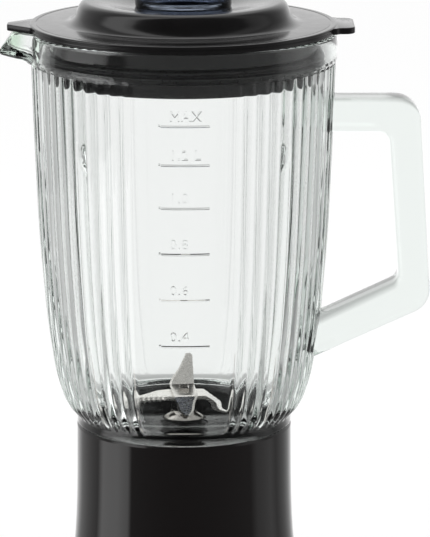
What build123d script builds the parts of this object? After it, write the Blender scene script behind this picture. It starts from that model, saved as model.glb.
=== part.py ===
from build123d import *
from math import atan2, degrees, sin
import os

# Countertop blender: motor base, moulded glass jug, blade unit, lid and measuring cap.
# Millimetres. The origin is the centre of the base on the worktop, on the axis of the
# blades. +Z is up, the speed knob faces -Y, the handle points to +X, the spout to -X.

os.makedirs("parts", exist_ok=True)

# ---- Driving dimensions -------------------------------------------------------------
SEAT_Z = 150.0          # underside of the jug's glass, just above the base's top rim
JUG_H = 175.0           # glass height above SEAT_Z
FOOT_H = 4.0            # rubber feet
WALL = 2.5              # housing wall

JUG_FOOT_R = 47.5       # smooth glass band that meets the base
RIM_R = 67.8            # smooth band round the mouth
RIM_H = 12.5            # its height
MOUTH_R = 61.8          # inside of the mouth
NECK_R, NECK_H = 42.2, 12.0     # glass neck below SEAT_Z, inside the base's recess
NECK_BORE_R = 36.0
HANDLE_W = 20.0         # handle depth along Y
HANDLE_EDGE_R = 5.0
SPOUT_TIP = 80.8        # reach of the spout from the axis
SPOUT_HALF_W = 19.0     # half its width at a radius of 60
SPOUT_ROUND = 4.0       # radius of its tip, seen from above
LIP_START, LIP_DROP = 73.7, 9.0     # where its top edge starts to slope, and how far down

# Glass outline outside (over the crests of the flutes) and inside: (radius, height
# above SEAT_Z).
GLASS_OUT = [(47.5, 3.5), (51.6, 9.0), (55.2, 18.0), (59.0, 38.0), (62.3, 70.0),
             (65.0, 121.0), (66.4, 161.0)]
GLASS_IN = [(36.0, -5.0), (36.0, 0.0), (37.2, 2.5), (39.7, 5.0), (43.1, 8.7), (45.5, 12.0),
            (49.2, 21.0), (52.4, 33.0), (55.0, 48.0), (57.4, 70.0), (60.4, 121.0),
            (MOUTH_R, 158.0)]
RIDGE_PROUD, RIDGE_W = 3.4, 5.0     # four ridges inside the wall that break the swirl
RIDGE_ANGLES = (45, 135, 225, 315)
RIDGE_TOP = 133.0
SCALE_HEIGHTS = [47.7, 68.4, 88.8, 108.9, 127.6, 144.4]    # 0.4 to 1.2 litres, and full
SCALE_HALF_ANGLE = 10.0

BASE_TOP = SEAT_Z - 0.4
BASE_R = 47.5           # housing at its top rim
CONE_HI, CONE_LO = (52.0, 78.0), (66.0, 28.0)   # straight flank that carries the knob
SKIRT_R = 71.0          # widest part of the housing, near the worktop
RECESS_R, LEDGE_Z = 45.3, 133.0     # recess that takes the blade holder
WELL_R, WELL_Z = 24.5, 118.0        # well that takes the couplings
DECK_T = 2.5

FLANGE_Z = SEAT_Z + JUG_H + 0.15    # underside of the lid's flange
FLANGE_R, FLANGE_T = 66.8, 3.3
PLUG_R, PLUG_DEPTH = 59.0, 20.0
CAP_HOLE_R = 19.2
CAP_R, CAP_PLUG_R, CAP_T = 21.0, 18.7, 2.0
CAP_SEAT_Z = SEAT_Z + 185.6
CAP_TOP_Z = SEAT_Z + 207.0

HOLDER_R = 45.0         # blade holder, outside
HOLDER_Z = 133.2        # its underside
HUB_FOOT, HUB_TOP = SEAT_Z - 3.0, SEAT_Z + 7.4
SHAFT_R = 3.0           # blade shaft
BLADE_T = 1.5
LOBE_PITCH_R = 6.25     # lobes of the couplings

MOTOR_SHAFT_R = 4.0
CORE_R, CORE_FLAT, CORE_Z = 34.0, 30.0, (60.0, 100.0)      # stator laminations
STATOR_BORE_R, ARMATURE_R = 18.0, 17.4
COIL_R = (19.0, 26.5)   # field coils, inner and outer radius
COMMUTATOR_R = 11.0
BOLT_R, LEG_R = 29.6, 2.9       # circle of the long motor bolts, legs round them
BOLT_ANGLES = (35, 145, 215, 325)
MOUNT_R, MOUNT_ANGLES = 19.0, (45, 135, 225, 315)
FAN_R, FAN_Z = 30.0, (20.0, 32.0)

KNOB_R, KNOB_H = 16.0, 14.0
KNOB_Z = 53.0           # height of the knob's centre on the flank
POST_R, POST_ANGLES = 58.5, (22.5, 157.5, 202.5, 337.5)
FOOT_R, FOOT_ANGLES = 57.0, (60, 120, 240, 300)
FOOT_PAD_R = 8.0
PIN_RADIUS = 38.0       # distance of the interlock pin from the axis
TAG_X = 7.6              # terminals of the interlock's switch
GLAND_Z, GLAND_BORE_R = 29.0, 3.6


# ---- Small helpers ------------------------------------------------------------------
def tube(r_out, z0, z1, r_in=0.0):
    """Upright cylinder or ring between two heights."""
    low = (Align.CENTER, Align.CENTER, Align.MIN)
    solid = Pos(0, 0, z0) * Cylinder(r_out, z1 - z0, align=low)
    if r_in:
        solid -= Pos(0, 0, z0) * Cylinder(r_in, z1 - z0, align=low)
    return solid


def block(x0, x1, y0, y1, z0, z1):
    """Box between two corners."""
    centre = Pos((x0 + x1) / 2, (y0 + y1) / 2, (z0 + z1) / 2)
    return centre * Box(x1 - x0, y1 - y0, z1 - z0)


def at(radius, angle):
    """Place on a circle round the axis, turned to face outwards."""
    return Rot(0, 0, angle) * Pos(radius, 0, 0)


def turned(*outline, angle=360):
    """Solid of revolution from a closed outline of (radius, height) points."""
    wire = Polyline(*[(r, 0, z) for r, z in outline], close=True)
    return revolve(make_face(wire), axis=Axis.Z, revolution_arc=angle)


def sector(r0, r1, half_angle, z0, z1):
    """Ring sector centred on +X."""
    face = turned((r0, z0), (r1, z0), (r1, z1), (r0, z1), angle=2 * half_angle)
    return Rot(0, 0, -half_angle) * face


def raised(points, lift=SEAT_Z):
    """Outline points in 3-D, lifted from heights above the jug's seat."""
    return [(r, 0, z + lift) for r, z in points]


def radius_at(outline, height):
    """Radius of an outline at a height, straight between its points."""
    for (r0, z0), (r1, z1) in zip(outline, outline[1:]):
        if z0 <= height <= z1:
            return r0 + (r1 - r0) * (height - z0) / (z1 - z0)
    raise ValueError(height)


def joined(shapes):
    """Union of a list of shapes."""
    total = shapes[0]
    for shape in shapes[1:]:
        total += shape
    return total


def separate(shapes):
    """Identical pieces kept as separate solids in one node."""
    return Compound(children=[s.solid() for s in shapes])


def save(name, shape):
    export_step(shape, f"parts/{name}.step")


def flank_r(z):
    """Radius of the housing's straight flank at a height."""
    (r_hi, z_hi), (r_lo, z_lo) = CONE_HI, CONE_LO
    return r_lo + (z - z_lo) * (r_hi - r_lo) / (z_hi - z_lo)


FLANK_TILT = degrees(atan2(CONE_LO[0] - CONE_HI[0], CONE_HI[1] - CONE_LO[1]))
# The knob's own frame: local +Z points out of the flank along the knob's axis.
KNOB_FRAME = Pos(0, -flank_r(KNOB_Z), KNOB_Z) * Rot(90 - FLANK_TILT, 0, 0)


# ---- Glass jug ----------------------------------------------------------------------
def glass_outside():
    """Body of the jug without its hollow: foot band, fluted part and rim band."""
    rim_low, top = SEAT_Z + JUG_H - RIM_H, SEAT_Z + JUG_H
    foot = Line((JUG_FOOT_R, 0, SEAT_Z), raised(GLASS_OUT)[0])
    flank = Spline(*raised(GLASS_OUT))
    shoulder = Line(raised(GLASS_OUT)[-1], (RIM_R, 0, rim_low))
    lip = Polyline((RIM_R, 0, rim_low), (RIM_R, 0, top - 1.5), (RIM_R - 1.5, 0, top),
                   (0, 0, top), (0, 0, SEAT_Z), (JUG_FOOT_R, 0, SEAT_Z))
    body = revolve(make_face([foot, flank, shoulder, *lip.edges()]), axis=Axis.Z)
    return body + tube(NECK_R, SEAT_Z - NECK_H, SEAT_Z)


def glass_hollow():
    """Hollow of the jug: mouth, bowl and open neck."""
    top = SEAT_Z + JUG_H + 1
    inside = Spline(*raised(GLASS_IN))
    rest = Polyline(raised(GLASS_IN)[-1], (MOUTH_R, 0, top), (0, 0, top),
                    (0, 0, SEAT_Z - NECK_H - 1), (NECK_BORE_R, 0, SEAT_Z - NECK_H - 1),
                    raised(GLASS_IN)[0])
    return revolve(make_face([inside, *rest.edges()]), axis=Axis.Z)


def beak(tip, half_width, z_low, z_full, z_top):
    """Pouring beak: a wedge that grows out of the wall and ends upright."""
    def wedge(reach, width, z):
        corners = [(-50, width, z), (-50, -width, z), (-60, -width, z), (-reach, 0, z),
                   (-60, width, z)]
        face = make_face(Polyline(*corners, close=True))
        return fillet(face.vertices().group_by(Axis.X)[0], SPOUT_ROUND)

    half_angle = atan2(half_width, tip + 2.3 - 60)
    corner = tip + SPOUT_ROUND * (1 / sin(half_angle) - 1)
    growing = loft([wedge(66, half_width * 0.5, z_low), wedge(corner, half_width, z_full)])
    upright = extrude(wedge(corner, half_width, z_full), z_top - z_full)
    return growing + upright


def above_lip():
    """What the beak's sloping top edge takes off."""
    top, slope = SEAT_Z + JUG_H, LIP_DROP / (SPOUT_TIP - LIP_START)
    beyond = SPOUT_TIP + 4
    corners = [(-LIP_START, 0, top), (-beyond, 0, top + 2),
               (-beyond, 0, top - slope * (beyond - LIP_START))]
    return extrude(make_face(Polyline(*corners, close=True)), SPOUT_HALF_W, both=True)


def handle_bar():
    """Solid glass handle: level upper arm, leaning grip and sloping lower arm."""
    outer = [(40, 146.2), (103.0, 146.2), (108.8, 53.2), (40, 22.0)]
    inner = [(40, 130.7), (89.6, 130.7), (94.4, 64.8), (40, 38.8)]
    face = make_face(Polyline(*[(x, 0, z + SEAT_Z) for x, z in outer + inner[::-1]],
                              close=True))
    corners = face.vertices().filter_by(lambda v: v.X > 80)
    outside = corners.filter_by(lambda v: v.X > 100)
    face = fillet(outside, 11)
    inside = face.vertices().filter_by(lambda v: 85 < v.X < 96 and v.Z < 283)
    face = fillet([v for v in inside if abs(v.Z - SEAT_Z - 130.7) < 0.1
                   or abs(v.Z - SEAT_Z - 64.8) < 0.1], 5)
    bar = extrude(face, HANDLE_W / 2, both=True)
    rims = bar.faces().filter_by(Axis.Y).edges()
    long_edges = [e for e in rims if e.center().X > 45]
    return fillet(long_edges, HANDLE_EDGE_R)


def mixing_ridges():
    """Four upright ridges inside the wall, pointed at the top."""
    wall = [p for p in GLASS_IN if 10.0 < p[1] < RIDGE_TOP]
    root = [(r + 1.2, z) for r, z in wall] + [(radius_at(GLASS_IN, RIDGE_TOP) + 1.2, RIDGE_TOP)]
    crest = [(r - RIDGE_PROUD, z) for r, z in wall]
    outline = [Spline(*raised(root)), Spline(*raised(crest)),
               Line(raised(root)[0], raised(crest)[0]),
               Line(raised(root)[-1], raised(crest)[-1])]
    plate = extrude(make_face(outline), RIDGE_W / 2, both=True)
    inner = plate.edges().filter_by(lambda e: abs(e.center().Y) > 2 and e.length > 60)
    inner = inner.sort_by(lambda e: e.center().X)[:2]
    plate = fillet(inner, 1.8)
    return [Rot(0, 0, angle) * plate for angle in RIDGE_ANGLES]


def scale_marks():
    """Raised lines of the scale on the smooth panel that faces the user."""
    marks = []
    for height in SCALE_HEIGHTS:
        wall = radius_at(GLASS_OUT, height)
        bar = sector(wall - 0.8, wall + 0.35, SCALE_HALF_ANGLE, SEAT_Z + height - 0.4,
                     SEAT_Z + height + 0.4)
        marks.append(Rot(0, 0, -90) * bar)
    return joined(marks)


def neck_lugs(r_in, r_out, z0, z1):
    """Four bayonet lugs."""
    return [Rot(0, 0, 45 + 90 * k) * sector(r_in, r_out, 14, z0, z1) for k in range(4)]


def glass_jug():
    top = SEAT_Z + JUG_H
    body = glass_outside() + handle_bar()
    body += beak(SPOUT_TIP, SPOUT_HALF_W, SEAT_Z + 161, SEAT_Z + 164.6, top) - above_lip()
    body += scale_marks()
    body -= glass_hollow()
    body += joined(mixing_ridges())
    body -= beak(SPOUT_TIP - 5, SPOUT_HALF_W - 4.5, SEAT_Z + 163, SEAT_Z + 168.5, top + 1)
    return body + joined(neck_lugs(NECK_R - 1, NECK_R + 1.0, SEAT_Z - 7.5, SEAT_Z - 5.0))


# ---- Blade unit -----------------------------------------------------------------------
def blade_holder():
    """Black collar that locks under the glass neck and carries the blade bearing."""
    flange_top = HOLDER_Z + 2.8
    body = turned((33.0, HOLDER_Z), (HOLDER_R, HOLDER_Z), (HOLDER_R, SEAT_Z - 1.0),
                  (43.6, SEAT_Z - 1.0), (43.6, flange_top), (35.4, flange_top),
                  (35.4, SEAT_Z - 8.0), (34.4, SEAT_Z - 7.0), (11.2, SEAT_Z - 7.0),
                  (9.2, SEAT_Z - 5.0), (9.2, HUB_FOOT), (6.55, HUB_FOOT),
                  (6.55, 134.0), (10.0, 134.0), (10.0, SEAT_Z - 9.5), (33.0, SEAT_Z - 9.5))
    lugs = neck_lugs(NECK_R + 0.3, 44.0, SEAT_Z - 10.4, SEAT_Z - 7.6)
    ribs = [at(0, a) * block(9.5, 33.5, -1, 1, SEAT_Z - 13, SEAT_Z - 9)
            for a in range(0, 360, 60)]
    return body + joined(lugs) + joined(ribs)


def jug_seal():
    return tube(NECK_R - 0.2, HOLDER_Z + 2.8, SEAT_Z - NECK_H, NECK_BORE_R)


def bearing_hub():
    """Stainless bell over the holder's boss, with the tube that holds the bushes."""
    bell = raised([(9.9, -2.2), (9.7, -1.4), (9.1, 0.0), (7.9, 1.8), (6.3, 3.7), (5.8, 5.4)])
    return turned((9.4, HUB_FOOT), *[(r, z) for r, _, z in bell], (5.8, HUB_TOP),
                  (4.0, HUB_TOP), (4.0, HUB_TOP - 1), (5.0, HUB_TOP - 1), (5.0, HOLDER_Z),
                  (6.5, HOLDER_Z), (6.5, HUB_FOOT))


def bush(z0, z1):
    return tube(4.98, z0, z1, SHAFT_R + 0.03)


def blade_shaft():
    """Shaft with a squared top end that carries the blades."""
    square = Pos(0, 0, HUB_TOP + 1.0) * Box(4.3, 4.3, 4.6, align=(Align.CENTER,
                                                                 Align.CENTER, Align.MIN))
    square = chamfer(square.faces().sort_by(Axis.Z)[-1].edges(), 0.5)
    return tube(SHAFT_R, 127.6, HUB_TOP + 1.0) + square


def arm(bend_at, reach, w_root, w_tip, tilt, turn, heel, teeth=0):
    """One blade arm along +X: flat root, then a bent wing that narrows from its leading
    edge (+Y side). heel is where along the wing the trailing edge turns to the tip."""
    flat = Polyline((0, -w_root / 2), (bend_at, -w_root / 2), (bend_at, w_root / 2),
                    (0, w_root / 2), close=True)
    flat = extrude(make_face(flat), BLADE_T)
    span = reach - bend_at
    edge = [(0, w_root / 2)]
    for k in range(teeth):
        x = span * (0.12 + 0.8 * k / teeth)
        y = w_root / 2 - (w_root - w_tip) * x / span
        edge += [(x, y), (x + 0.25 * span / teeth, y - 1.0)]
    edge += [(span, w_tip - w_root / 2), (span * heel, -w_root / 2), (0, -w_root / 2)]
    wing = extrude(make_face(Polyline(*edge, close=True)), BLADE_T)
    hinge_z = BLADE_T if tilt < 0 else 0
    wing = Pos(bend_at, 0, hinge_z) * Rot(0, -tilt, 0) * Pos(0, 0, -hinge_z) * wing
    return Rot(0, 0, turn) * (flat + wing)


def blade(z, *arms):
    """Two-armed blade punched and bent from sheet, with a square hole."""
    body = joined([*arms, extrude(Circle(6.0), BLADE_T)])
    hole = Box(4.36, 4.36, 20)
    return Pos(0, 0, z) * (body - hole)


# Left arm nearly level, right arm bent down.
def lower_blade():
    left = arm(7.0, 23.5, 11.0, 8.0, -4, turn=184, heel=0.25, teeth=6)
    right = arm(8.5, 22.5, 11.0, 5.5, -32, turn=8, heel=0.8, teeth=5)
    return blade(HUB_TOP + 1.0, left, right)


# Rear arm bent steeply up, front arm bent down.
def upper_blade():
    rear = arm(7.5, 25.5, 11.0, 2.9, 66, turn=97, heel=0.95)
    front = arm(8.0, 18.0, 11.0, 5.2, -34, turn=277, heel=0.12)
    return blade(HUB_TOP + 1.0 + BLADE_T, rear, front)


def lobed(core_r, lobe_r, count=6):
    """Round outline with lobes on the pitch circle that both couplings share."""
    face = Circle(core_r)
    for k in range(count):
        face += Rot(0, 0, 360 * k / count) * Pos(LOBE_PITCH_R, 0) * Circle(lobe_r)
    return face


def driven_coupling():
    """Coupling under the blade shaft, open downwards."""
    bell = tube(12.0, 119.5, 128.5) + tube(9.0, 128.5, 132.0)
    bell = chamfer(bell.edges().sort_by(Axis.Z)[0], 0.8)
    bell -= Pos(0, 0, 119.5) * extrude(lobed(6.4, 2.75), 7.5)
    return bell - tube(SHAFT_R, 127.6, 133)


def drive_coupling():
    """Lobed coupling on top of the motor shaft."""
    body = Pos(0, 0, 118.4) * extrude(lobed(6.0, 2.4), 7.6)
    body = chamfer(body.edges().group_by(Axis.Z)[-1], 0.5)
    return body - tube(MOTOR_SHAFT_R, 118, 124.4)


# ---- Lid and measuring cap ------------------------------------------------------------
def lid():
    """Flanged lid with a plug skirt, a hollow dome, a spout tab and a grip tab."""
    z = FLANGE_Z
    top = z + FLANGE_T
    edge = [(FLANGE_R - 0.6, z), (FLANGE_R, z + 0.5), (FLANGE_R, z + 1.2),
            (FLANGE_R - 0.5, z + 1.65), (FLANGE_R, z + 2.1), (FLANGE_R, z + 2.8),
            (FLANGE_R - 0.6, top)]
    dome = [(51.5, top), (48.6, top + 1.2), (46.6, top + 4.0), (45.6, top + 7.0),
            (44.2, top + 8.9), (41.5, top + 9.7), (37.0, top + 9.5), (30.0, top + 8.4),
            (22.0, top + 7.0), (CAP_HOLE_R, top + 7.0)]
    under = [(CAP_HOLE_R, top + 1.5), (22.0, top + 1.5), (22.0, top + 4.6), (30.0, top + 6.0),
             (37.0, top + 7.2), (41.0, top + 7.4), (43.4, top + 6.0), (44.6, top + 2.4),
             (47.0, z + 0.6), (PLUG_R - 2.2, z), (PLUG_R - 2.2, z - PLUG_DEPTH),
             (PLUG_R, z - PLUG_DEPTH), (PLUG_R, z)]
    body = turned(*edge, *dome, *under)
    return body + spout_tab(z, top) + grip_tab(z, top)


def spout_tab(z, top):
    points = [(-60, 15.5), (-66.4, 12.8), (-76.6, 3.2), (-76.6, -3.2), (-66.4, -12.8), (-60, -15.5)]
    face = make_face(Polyline(*[(x, y, z) for x, y in points], close=True))
    face = fillet([v for v in face.vertices() if v.X < -70], 2.5)
    return extrude(face, top - z - 0.5)


def grip_tab(z, top):
    face = make_face(Polyline((62, -17.5, z), (66, -16.0, z), (67, -14.5, z), (74.3, -14.5, z),
                              (74.3, 14.5, z), (67, 14.5, z), (66, 16.0, z), (62, 17.5, z),
                              close=True))
    face = fillet([v for v in face.vertices() if v.X > 74], 5)
    return extrude(face, top - z - 0.5)


def lid_seal():
    """Silicone ring round the plug with two lips."""
    z = SEAT_Z + 162.0
    return turned((PLUG_R, z), (60.6, z + 0.6), (61.5, z + 1.4), (61.5, z + 2.0), (60.4, z + 2.6),
                  (60.4, z + 3.2), (61.5, z + 3.8), (61.5, z + 4.4), (60.4, z + 5.2),
                  (PLUG_R, z + 5.6))


def measuring_cap():
    """Upturned measuring cup: closed top, grip wall, seat flange and plug."""
    z = CAP_SEAT_Z
    return turned((0, CAP_TOP_Z), (CAP_R - 2.2, CAP_TOP_Z), (CAP_R - 0.8, CAP_TOP_Z - 0.7),
                  (CAP_R, CAP_TOP_Z - 2.2), (CAP_R, z), (CAP_PLUG_R, z),
                  (CAP_PLUG_R, z - 14), (CAP_PLUG_R - CAP_T, z - 14), (CAP_PLUG_R - CAP_T, z + 1),
                  (CAP_R - CAP_T, z + 3), (CAP_R - CAP_T, CAP_TOP_Z - 2.2), (0, CAP_TOP_Z - 2.2))


# ---- Base housing and cover -----------------------------------------------------------
def housing_curve(inset):
    """Side of the housing from its top rim down to the widest part."""
    hi, lo = (CONE_HI[0] - inset, 0, CONE_HI[1]), (CONE_LO[0] - inset, 0, CONE_LO[1])
    flank = Vector(lo[0] - hi[0], 0, lo[2] - hi[2])
    down = Vector(0, 0, -1)
    neck = Spline((BASE_R - inset, 0, BASE_TOP - 1.0), (48.4 - inset, 0, 104.0), hi,
                  tangents=(down + Vector(0.01, 0, 0), flank.normalized()))
    foot = Spline(lo, (SKIRT_R - inset, 0, 12.0), tangents=(flank.normalized(), down))
    return [neck, Line(hi, lo), foot]


def housing_solid(inset, top, bottom):
    """Filled shape of the housing, drawn in by an inset."""
    start = (BASE_R - inset, 0, BASE_TOP - 1.0)
    end = (SKIRT_R - inset, 0, 12.0)
    close = Polyline(end, (SKIRT_R - inset, 0, bottom), (0, 0, bottom), (0, 0, top),
                     (BASE_R - inset - 0.8, 0, top), start)
    return revolve(make_face([*housing_curve(inset), *close.edges()]), axis=Axis.Z)


def base_housing():
    """Glossy shell with the recess, the coupling well and its inner bosses."""
    shell = housing_solid(0, BASE_TOP, FOOT_H + 1.0) - housing_solid(WALL, BASE_TOP + 1, FOOT_H)
    deck = turned((RECESS_R, LEDGE_Z), (46.5, LEDGE_Z), (46.5, LEDGE_Z - DECK_T),
                  (WELL_R + DECK_T, LEDGE_Z - DECK_T), (WELL_R + DECK_T, WELL_Z - DECK_T),
                  (9.6, WELL_Z - DECK_T), (9.6, WELL_Z), (WELL_R, WELL_Z), (WELL_R, LEDGE_Z))
    rim = tube(46.5, LEDGE_Z - DECK_T, BASE_TOP - 1, RECESS_R)
    body = shell + deck + rim - tube(RECESS_R, LEDGE_Z, BASE_TOP + 1)
    for angle in MOUNT_ANGLES:
        body += at(MOUNT_R, angle) * tube(4.0, WELL_Z - 1, WELL_Z + 6)
        body -= at(MOUNT_R, angle) * tube(1.55, WELL_Z - 4, WELL_Z + 4)
    for angle in POST_ANGLES:
        post = tube(4.0, FOOT_H + 4.2, 30) + block(2, 8.2, -1, 1, 10, 28)
        body += at(POST_R, angle) * post
        body -= at(POST_R, angle) * tube(1.5, FOOT_H, 24)
    body += KNOB_FRAME * tube(KNOB_R + 5.4, -5.0, 2.2)
    body -= KNOB_FRAME * (tube(KNOB_R + 2.2, 0.6, 30) + tube(5.3, -20, 10))
    body -= KNOB_FRAME * tube(KNOB_R + 5.5, -30, -2.2) & housing_solid(WALL, BASE_TOP, 0)
    body += gland_pad()
    body -= Pos(0, 0, GLAND_Z) * Rot(-90, 0, 0) * tube(5.5, 55, 80)
    body += interlock_guide()
    return body - Pos(0, PIN_RADIUS, 0) * tube(2.62, LEDGE_Z - 5, LEDGE_Z + 5)


def gland_pad():
    """Flat pad at the back for the cord gland."""
    pad = Pos(0, 0, GLAND_Z) * Rot(-90, 0, 0) * tube(9.5, 60, 69.6)
    return pad - housing_solid(WALL, BASE_TOP, 0)


def interlock_guide():
    """Hanger under the ledge that carries the interlock's spring seat and switch."""
    y0, y1 = PIN_RADIUS - 3.4, PIN_RADIUS + 4.2
    sides = [block(x, x + 1.8, y0, y1, 96, LEDGE_Z - 1) for x in (-13.0, 11.2)]
    seat = block(-13, 13, y0, y1, 110.2, 112) - Pos(0, PIN_RADIUS, 0) * tube(2.7, 108, 114)
    floor = block(-13, 13, y0, y1, 96, 97.8)
    for x in (-TAG_X, TAG_X):
        floor -= block(x - 0.7, x + 0.7, PIN_RADIUS - 1.8, PIN_RADIUS + 1.8, 95, 99)
    return joined([*sides, seat, floor])


def bottom_cover():
    """Flat cover with rings of air slots, foot sockets and screw recesses."""
    cover = tube(SKIRT_R - WALL - 0.3, FOOT_H + 1.2, FOOT_H + 4.0)
    for radius, count, half in ((20, 8, 15), (28, 10, 12.5), (36, 12, 10.5)):
        for k in range(count):
            cover -= Rot(0, 0, 360 * k / count) * sector(radius - 2, radius + 2, half, 0, 20)
    for angle in POST_ANGLES:
        cover -= at(POST_R, angle) * tube(1.8, 0, 20)
        cover -= at(POST_R, angle) * tube(3.4, 0, FOOT_H + 2.4)
    for angle in FOOT_ANGLES:
        cover -= at(FOOT_R, angle) * tube(3.0, 0, 20)
    return cover


def rubber_foot():
    """Round foot with a stem and a button that snaps through the cover."""
    foot = tube(FOOT_PAD_R, 0, FOOT_H + 1.2) + tube(2.95, FOOT_H, FOOT_H + 4.6)
    foot += tube(3.8, FOOT_H + 4.05, FOOT_H + 5.4)
    return chamfer(foot.faces().sort_by(Axis.Z)[0].edges(), 0.4)


def screw(shank_r, head_r, z_head, head_h, z_tip):
    """Cross-head screw standing on +Z, head down."""
    body = tube(head_r, z_head, z_head + head_h) + tube(shank_r, z_head + head_h, z_tip)
    slot = block(-head_r * 0.6, head_r * 0.6, -0.4, 0.4, z_head - 1, z_head + 0.8)
    return body - slot - Rot(0, 0, 90) * slot


# ---- Controls ---------------------------------------------------------------------------
def knob_bezel():
    """Bright ring round the knob, with a rim of raised position marks."""
    ring = turned((KNOB_R + 1.2, 0.65), (KNOB_R + 2.15, 0.65), (KNOB_R + 2.15, 2.25),
                  (KNOB_R + 5.3, 2.25), (KNOB_R + 4.6, 3.0), (KNOB_R + 2.0, 3.0),
                  (KNOB_R + 1.2, 2.4))
    for angle in (45, 90, 135, 180):
        ring += Rot(0, 0, angle) * block(KNOB_R + 2.4, KNOB_R + 4.2, -0.4, 0.4, 2.8, 3.3)
    return KNOB_FRAME * ring


def speed_knob():
    """Round knob with a grip bar and a pointer, on a stub that holds the spindle."""
    skirt = turned((0, 1.0), (KNOB_R + 0.7, 1.0), (KNOB_R + 0.7, 3.4), (KNOB_R - 0.6, 5.0),
                   (KNOB_R - 1.6, 5.6), (0, 5.6))
    bar = Pos(0, 0, 5.4) * extrude(Rectangle(2 * (KNOB_R - 2.4), 8.4), KNOB_H - 5.4, taper=6)
    bar = fillet(bar.edges().group_by(Axis.Z)[-1], 1.0)
    pointer = block(7.0, KNOB_R - 4.2, -0.7, 0.7, KNOB_H - 1, KNOB_H + 0.4)
    hole = tube(3.0, 0, 9) - block(2.2, 4, -4, 4, -1, 12)
    return KNOB_FRAME * Rot(0, 0, 90) * (skirt + bar + pointer - hole)


def knob_spindle():
    """D-shaped spindle from the switch to the knob."""
    d_end = tube(2.98, 0.2, 8.8) - block(2.18, 4, -4, 4, -1, 12)
    return KNOB_FRAME * Rot(0, 0, 90) * (tube(2.98, -9.0, 0.2) + d_end)


def rotary_switch():
    """Switch body behind the flank with its threaded neck and tags."""
    body = tube(12.0, -15.0, -5.2) + tube(5.2, -5.2, -0.4)
    body -= tube(3.04, -10, 0)
    for angle in (-60, -20, 20, 60):
        tag = block(11, 16, -1.2, 1.2, -12.4, -11.6)
        body += Rot(0, 0, angle + 90) * tag
    return KNOB_FRAME * body


def interlock_pin():
    """Pin that the jug presses down."""
    pin = tube(2.5, 108.2, LEDGE_Z + 0.1) + tube(4.3, 124.0, 126.4)
    return Pos(0, PIN_RADIUS, 0) * pin


def interlock_spring():
    turns, wire = 4.5, 0.45
    z0, z1 = 112 + wire, 124 - wire
    path = Pos(0, PIN_RADIUS, z0) * Helix((z1 - z0) / turns, z1 - z0, 3.3)
    section = Plane(origin=path @ 0, z_dir=path % 0) * Circle(wire)
    return sweep(section, path=path, is_frenet=True)


def microswitch():
    body = block(-10.5, 10.5, PIN_RADIUS - 3.2, PIN_RADIUS + 3.2, 97.9, 106.6)
    button = block(-1.4, 1.4, PIN_RADIUS - 1.2, PIN_RADIUS + 1.2, 106.5, 108.1)
    tags = [block(x - 0.4, x + 0.4, PIN_RADIUS - 1.5, PIN_RADIUS + 1.5, 93.0, 98.2)
            for x in (-TAG_X, TAG_X)]
    return joined([body, button, *tags])


# ---- Motor --------------------------------------------------------------------------------
def motor_stator():
    """Laminated core with two poles, coil windows and bolt holes."""
    z0, z1 = CORE_Z
    core = tube(CORE_R, z0, z1, STATOR_BORE_R) & block(-CORE_FLAT, CORE_FLAT, -50, 50, z0, z1)
    for angle in (0, 180):
        core -= Rot(0, 0, angle) * sector(STATOR_BORE_R - 1, COIL_R[1] + 0.5, 39, z0, z1)
    for angle in BOLT_ANGLES:
        core -= at(BOLT_R, angle) * tube(1.75, z0, z1)
    return core


def field_coil():
    """One saddle coil round a stator pole, centred on +X before it is placed."""
    z0, z1 = CORE_Z[0] - 4.8, CORE_Z[1] + 4.8
    outer = sector(COIL_R[0], COIL_R[1], 66, z0, z1)
    window = sector(COIL_R[0] - 1, COIL_R[1] + 1, 52.5, CORE_Z[0] - 0.5, CORE_Z[1] + 0.5)
    return outer - window


def motor_shaft():
    shaft = tube(MOTOR_SHAFT_R, 18.0, 124.3)
    return chamfer(shaft.edges().filter_by(GeomType.CIRCLE), 0.4)


def armature_core():
    z0, z1 = CORE_Z[0] + 1, CORE_Z[1] - 1
    core = tube(ARMATURE_R, z0, z1, MOTOR_SHAFT_R)
    for k in range(12):
        slot = block(9.5, 16.0, -1.6, 1.6, z0, z1) + block(15, 18, -0.8, 0.8, z0, z1)
        core -= Rot(0, 0, 30 * k) * slot
    return core


def armature_windings():
    """Copper in the slots and the two bundles at the ends."""
    z0, z1 = CORE_Z[0] + 1, CORE_Z[1] - 1
    above = turned((6.0, z1), (15.4, z1), (15.8, z1 + 2), (14.0, z1 + 6), (8.0, z1 + 6.6),
                   (6.0, z1 + 5))
    below = turned((6.0, z0), (6.0, z0 - 2.2), (9.0, z0 - 3.6), (14.0, z0 - 3.6), (15.8, z0 - 1.6),
                   (15.4, z0))
    wires = [Rot(0, 0, 30 * k) * block(9.6, 15.2, -1.5, 1.5, z0 - 1, z1 + 1) for k in range(12)]
    return joined([above, below, *wires])


def commutator():
    """Ring of copper bars on an insulating sleeve."""
    ring = tube(COMMUTATOR_R, 44.5, 55.5) + tube(COMMUTATOR_R + 1.2, 55.5, 57)
    ring -= tube(MOTOR_SHAFT_R, 40, 60)
    for k in range(24):
        ring -= Rot(0, 0, 15 * k) * block(9.8, 13, -0.2, 0.2, 44, 58)
    return ring


def cooling_fan():
    """Axial fan under the motor."""
    z0, z1 = FAN_Z
    hub = tube(8.0, z0, z1, MOTOR_SHAFT_R) + tube(FAN_R - 1, z0 + 8.4, z0 + 9.6, 7.5)
    plate = Pos(18.5, 0, z0 + 4.4) * Rot(35, 0, 0) * Box(22.0, 12.5, 1.4)
    blades = [Rot(0, 0, 40 * k) * plate for k in range(9)]
    disc = tube(FAN_R, z0, z1, 7.0)
    return (hub + joined(blades)) & (disc + tube(8.0, z0, z1, MOTOR_SHAFT_R))


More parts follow.
